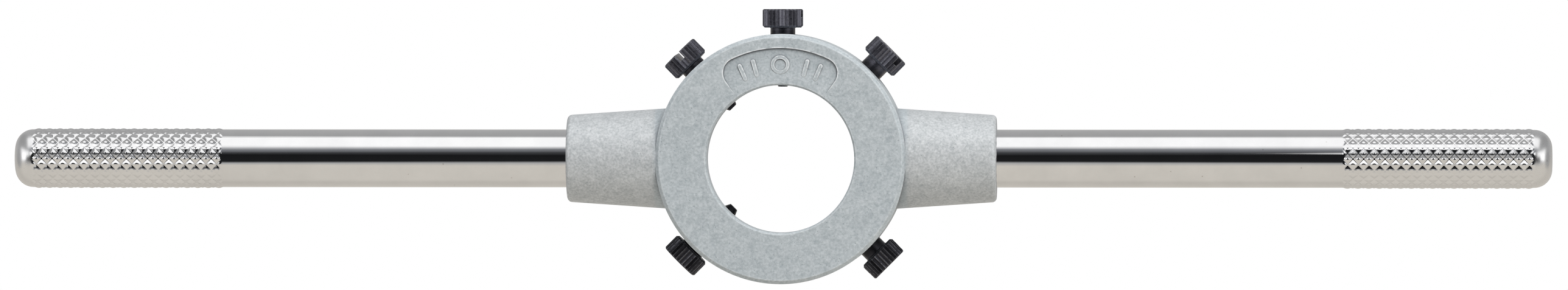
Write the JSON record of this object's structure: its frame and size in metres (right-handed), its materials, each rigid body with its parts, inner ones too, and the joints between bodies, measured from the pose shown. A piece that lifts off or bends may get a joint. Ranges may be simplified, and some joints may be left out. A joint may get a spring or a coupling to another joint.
{
  "type": "die stock",
  "caption": "Two-handed die stock: a cast ring that seats a round threading die, knurled steel handles, and slotted thumb screws set radially to centre, spread and hold the die.",
  "frame": {"origin": "where the handles' axis crosses the ring's axis, half way through the ring's thickness", "axes": "+X along the handles, +Y to the spreading screw, +Z out of the ring's closed, marked face; the die's seat opens towards -Z"},
  "size_m": [0.265, 0.0473, 0.018],
  "materials": {
    "cast_zinc": "satin, tumbled zinc die casting",
    "bright_nickel": "bright nickel plate on steel, knurled grips",
    "black_oxide": "black oxide on steel, lightly oiled"
  },
  "bodies": {
    "root": {"stock_body": "cast_zinc", "left_handle": "bright_nickel", "right_handle": "bright_nickel"},
    "spreading_screw": {"spreading_screw": "black_oxide"},
    "closing_screw_left": {"closing_screw_left": "black_oxide"},
    "closing_screw_right": {"closing_screw_right": "black_oxide"},
    "holding_screw_left": {"holding_screw_left": "black_oxide"},
    "holding_screw_right": {"holding_screw_right": "black_oxide"}
  },
  "joints": [
    {"name": "spreading_screw_travel", "type": "slide", "parent": "root", "child": "spreading_screw", "axis": [0, -1, 0], "range_m": [-0.00312, 0.00103]},
    {"name": "closing_screw_left_travel", "type": "slide", "parent": "root", "child": "closing_screw_left", "axis": [0.7009, -0.7133, 0], "range_m": [-0.00323, 0.00092]},
    {"name": "closing_screw_right_travel", "type": "slide", "parent": "root", "child": "closing_screw_right", "axis": [-0.7071, -0.7071, 0], "range_m": [-0.00236, 0.00179]},
    {"name": "holding_screw_left_travel", "type": "slide", "parent": "root", "child": "holding_screw_left", "axis": [0.7071, 0.7071, 0], "range_m": [-0.00355, 0.0006]},
    {"name": "holding_screw_right_travel", "type": "slide", "parent": "root", "child": "holding_screw_right", "axis": [-0.7071, 0.7071, 0], "range_m": [-0.0028, 0.00135]}
  ]
}
